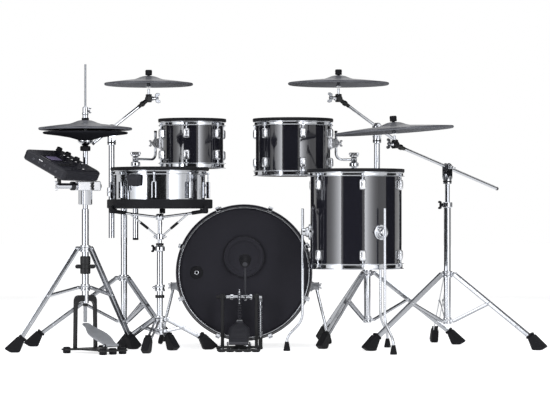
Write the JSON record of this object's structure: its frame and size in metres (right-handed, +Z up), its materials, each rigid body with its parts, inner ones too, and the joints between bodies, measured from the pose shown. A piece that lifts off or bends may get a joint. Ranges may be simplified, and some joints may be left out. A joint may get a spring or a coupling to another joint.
{
  "type": "electronic drum kit",
  "caption": "Drum kit with gloss black shells, chrome snare, mesh heads, rubber cymbal pads on tripod stands, hi-hat with pedal, kick pedal and sound module.",
  "frame": {"origin": "middle of the set's outline on the floor", "axes": "+Z up, player on the -Y side looking along +Y, +X to the player's right"},
  "size_m": [2.1122, 1.1701, 1.121],
  "materials": {
    "gloss_black_shell": "gloss black lacquer",
    "mirror_chrome": "mirror plate",
    "black_rubber": "matte",
    "cymbal_rubber": "satin",
    "mesh_head": "woven mesh",
    "black_steel": "satin black",
    "grey_aluminium": "cast, bead blasted",
    "dark_aluminium": "dark anodised",
    "module_plastic": "matte black"
  },
  "bodies": {
    "set": {"bass_shell": "gloss_black_shell", "bass_hoops": "gloss_black_shell", "bass_heads": "mesh_head", "bass_hardware": "mirror_chrome", "floor_tom_shell": "gloss_black_shell", "floor_tom_head": "mesh_head", "floor_tom_rim": "black_rubber", "floor_tom_lugs": "mirror_chrome", "snare_stand": "mirror_chrome", "hihat_stand": "mirror_chrome", "hihat_base": "black_steel", "hihat_bottom_pad": "cymbal_rubber", "module_arm": "mirror_chrome", "left_stand": "mirror_chrome", "right_stand": "mirror_chrome", "ride_column": "mirror_chrome", "kick_base": "black_steel", "kick_spring": "mirror_chrome"},
    "spur_left": {"bass_spur_left": "mirror_chrome"},
    "spur_right": {"bass_spur_right": "mirror_chrome"},
    "snare": {"snare_shell": "mirror_chrome", "snare_head": "mesh_head", "snare_rim": "black_rubber", "snare_hardware": "mirror_chrome", "snare_base_ring": "black_rubber", "snare_basket": "mirror_chrome"},
    "small_tom": {"small_tom_shell": "gloss_black_shell", "small_tom_head": "mesh_head", "small_tom_rim": "black_rubber", "small_tom_lugs": "mirror_chrome", "small_tom_arm": "mirror_chrome"},
    "large_tom": {"large_tom_shell": "gloss_black_shell", "large_tom_head": "mesh_head", "large_tom_rim": "black_rubber", "large_tom_lugs": "mirror_chrome", "large_tom_arm": "mirror_chrome"},
    "floor_tom_legs": {"floor_tom_legs": "mirror_chrome"},
    "hihat_board": {"hihat_footboard": "grey_aluminium"},
    "hihat_rod": {"hihat_rod": "mirror_chrome", "hihat_top_pad": "cymbal_rubber"},
    "module": {"module_case": "module_plastic"},
    "kick_board": {"kick_footboard": "dark_aluminium"},
    "kick_beater": {"kick_beater": "mirror_chrome"},
    "kick_chain": {"kick_chain": "black_steel"},
    "ride_collar": {"ride_leg_collar": "mirror_chrome"},
    "ride_leg_1": {"ride_leg_1": "mirror_chrome"},
    "ride_brace_1": {"ride_brace_1": "mirror_chrome"},
    "ride_leg_2": {"ride_leg_2": "mirror_chrome"},
    "ride_brace_2": {"ride_brace_2": "mirror_chrome"},
    "ride_leg_3": {"ride_leg_3": "mirror_chrome"},
    "ride_brace_3": {"ride_brace_3": "mirror_chrome"},
    "left_tube": {"left_boom_tube": "mirror_chrome"},
    "left_arm": {"left_boom_arm": "mirror_chrome"},
    "left_cymbal": {"left_crash": "cymbal_rubber"},
    "right_tube": {"right_boom_tube": "mirror_chrome"},
    "right_arm": {"right_boom_arm": "mirror_chrome"},
    "right_cymbal": {"right_crash": "cymbal_rubber"},
    "ride_tube": {"ride_boom_tube": "mirror_chrome"},
    "ride_arm": {"ride_boom_arm": "mirror_chrome"},
    "ride_cymbal": {"ride_cymbal": "cymbal_rubber"}
  },
  "joints": [
    {"name": "spur_left_fold", "type": "hinge", "parent": "set", "child": "spur_left", "pos_m": [-0.4271, 0.2114, 0.239], "axis": [-1, 0, 0], "range_deg": [0, 90]},
    {"name": "spur_right_fold", "type": "hinge", "parent": "set", "child": "spur_right", "pos_m": [0.1529, 0.2114, 0.239], "axis": [-1, 0, 0], "range_deg": [0, 90]},
    {"name": "snare_height", "type": "slide", "parent": "set", "child": "snare", "axis": [0, 0, 1], "range_m": [0, 0.09]},
    {"name": "small_tom_tilt", "type": "hinge", "parent": "set", "child": "small_tom", "pos_m": [-0.5771, 0.1114, 0.755], "axis": [1, 0, 0], "range_deg": [0, 12]},
    {"name": "large_tom_tilt", "type": "hinge", "parent": "set", "child": "large_tom", "pos_m": [0.3089, 0.2244, 0.755], "axis": [1, 0, 0], "range_deg": [0, 12]},
    {"name": "floor_tom_leg_height", "type": "slide", "parent": "set", "child": "floor_tom_legs", "axis": [0, 0, 1], "range_m": [0, 0.08]},
    {"name": "hihat_rod_travel", "type": "slide", "parent": "set", "child": "hihat_rod", "axis": [0, 0, -1], "range_m": [0, 0.0065], "stiffness_N_per_m": 3000, "springref_m": -0.02},
    {"name": "hihat_pedal", "type": "hinge", "parent": "set", "child": "hihat_board", "pos_m": [-0.63388, -0.44839, 0.034], "axis": [-0.7547, -0.6561, 0], "range_deg": [0, 2.22]},
    {"name": "module_tilt", "type": "hinge", "parent": "set", "child": "module", "pos_m": [-0.83493, -0.42715, 0.6882], "axis": [0.5, 0.866, 0], "range_deg": [-12, 4]},
    {"name": "left_cymbal_height", "type": "slide", "parent": "set", "child": "left_tube", "axis": [0, 0, 1], "range_m": [0, 0.1]},
    {"name": "left_boom_tilt", "type": "hinge", "parent": "left_tube", "child": "left_arm", "pos_m": [-0.6741, 0.1114, 0.878], "axis": [0.314, -0.9494, 0], "range_deg": [-5, 10]},
    {"name": "left_cymbal_swing", "type": "hinge", "parent": "left_arm", "child": "left_cymbal", "pos_m": [-0.52694, 0.16007, 1.074], "axis": [1, 0, 0], "range_deg": [-11, 11], "stiffness_Nm_per_rad": 6},
    {"name": "right_cymbal_height", "type": "slide", "parent": "set", "child": "right_tube", "axis": [0, 0, 1], "range_m": [0, 0.1]},
    {"name": "right_boom_tilt", "type": "hinge", "parent": "right_tube", "child": "right_arm", "pos_m": [0.4029, 0.2244, 0.889], "axis": [-0.3665, 0.9304, 0], "range_deg": [-5, 10]},
    {"name": "right_cymbal_swing", "type": "hinge", "parent": "right_arm", "child": "right_cymbal", "pos_m": [0.2438, 0.16173, 1.076], "axis": [1, 0, 0], "range_deg": [-11, 11], "stiffness_Nm_per_rad": 6},
    {"name": "ride_cymbal_height", "type": "slide", "parent": "set", "child": "ride_tube", "axis": [0, 0, 1], "range_m": [0, 0.1]},
    {"name": "ride_boom_tilt", "type": "hinge", "parent": "ride_tube", "child": "ride_arm", "pos_m": [0.6729, -0.0086, 0.719], "axis": [-0.7083, 0.7059, 0], "range_deg": [-5, 8]},
    {"name": "ride_cymbal_swing", "type": "hinge", "parent": "ride_arm", "child": "ride_cymbal", "pos_m": [0.44786, -0.2296, 0.87083], "axis": [0.9976, 0, 0.0698], "range_deg": [-11, 11], "stiffness_Nm_per_rad": 6},
    {"name": "ride_collar_slide", "type": "slide", "parent": "set", "child": "ride_collar", "axis": [0, 0, 1], "range_m": [0, 0.04]},
    {"name": "ride_leg_1_fold", "type": "hinge", "parent": "ride_collar", "child": "ride_leg_1", "pos_m": [0.69986, -0.02175, 0.293], "axis": [0.4384, 0.8988, 0], "range_deg": [0, 6.7]},
    {"name": "ride_brace_1_fold", "type": "hinge", "parent": "set", "child": "ride_brace_1", "pos_m": [0.69807, -0.02087, 0.107], "axis": [-0.4384, -0.8988, 0], "range_deg": [0, 9.43]},
    {"name": "ride_leg_2_fold", "type": "hinge", "parent": "ride_collar", "child": "ride_leg_2", "pos_m": [0.67081, 0.02133, 0.293], "axis": [-0.9976, -0.0698, 0], "range_deg": [0, 6.7]},
    {"name": "ride_brace_2_fold", "type": "hinge", "parent": "set", "child": "ride_brace_2", "pos_m": [0.67095, 0.01933, 0.107], "axis": [0.9976, 0.0698, 0], "range_deg": [0, 9.43]},
    {"name": "ride_leg_3_fold", "type": "hinge", "parent": "ride_collar", "child": "ride_leg_3", "pos_m": [0.64803, -0.02538, 0.293], "axis": [0.5592, -0.829, 0], "range_deg": [0, 6.7]},
    {"name": "ride_brace_3_fold", "type": "hinge", "parent": "set", "child": "ride_brace_3", "pos_m": [0.64969, -0.02426, 0.107], "axis": [-0.5592, 0.829, 0], "range_deg": [0, 9.43]},
    {"name": "kick_beater_swing", "type": "hinge", "parent": "set", "child": "kick_beater", "pos_m": [-0.1541, -0.1086, 0.206], "axis": [-1, 0, 0], "range_deg": [0, 40], "stiffness_Nm_per_rad": 1.2, "springref_deg": -28.65, "deforming": ["kick_spring"]},
    {"name": "kick_chain_travel", "type": "slide", "parent": "set", "child": "kick_chain", "axis": [0, 0, -1], "range_m": [0, 0.02097]},
    {"name": "kick_pedal", "type": "hinge", "parent": "set", "child": "kick_board", "pos_m": [-0.1541, -0.3106, 0.034], "axis": [-1, 0, 0], "range_deg": [0, 5.09]}
  ],
  "couplings": [
    {"joint": "hihat_pedal", "follows": "hihat_rod_travel", "rad_per_m": 5.8823},
    {"joint": "kick_chain_travel", "follows": "kick_beater_swing", "m_per_rad": 0.03},
    {"joint": "kick_pedal", "follows": "kick_beater_swing", "ratio": 0.12712},
    {"joint": "ride_leg_1_fold", "follows": "ride_collar_slide", "rad_per_m": 2.918},
    {"joint": "ride_brace_1_fold", "follows": "ride_collar_slide", "rad_per_m": 4.1052},
    {"joint": "ride_leg_2_fold", "follows": "ride_collar_slide", "rad_per_m": 2.918},
    {"joint": "ride_brace_2_fold", "follows": "ride_collar_slide", "rad_per_m": 4.1052},
    {"joint": "ride_leg_3_fold", "follows": "ride_collar_slide", "rad_per_m": 2.918},
    {"joint": "ride_brace_3_fold", "follows": "ride_collar_slide", "rad_per_m": 4.1052}
  ]
}
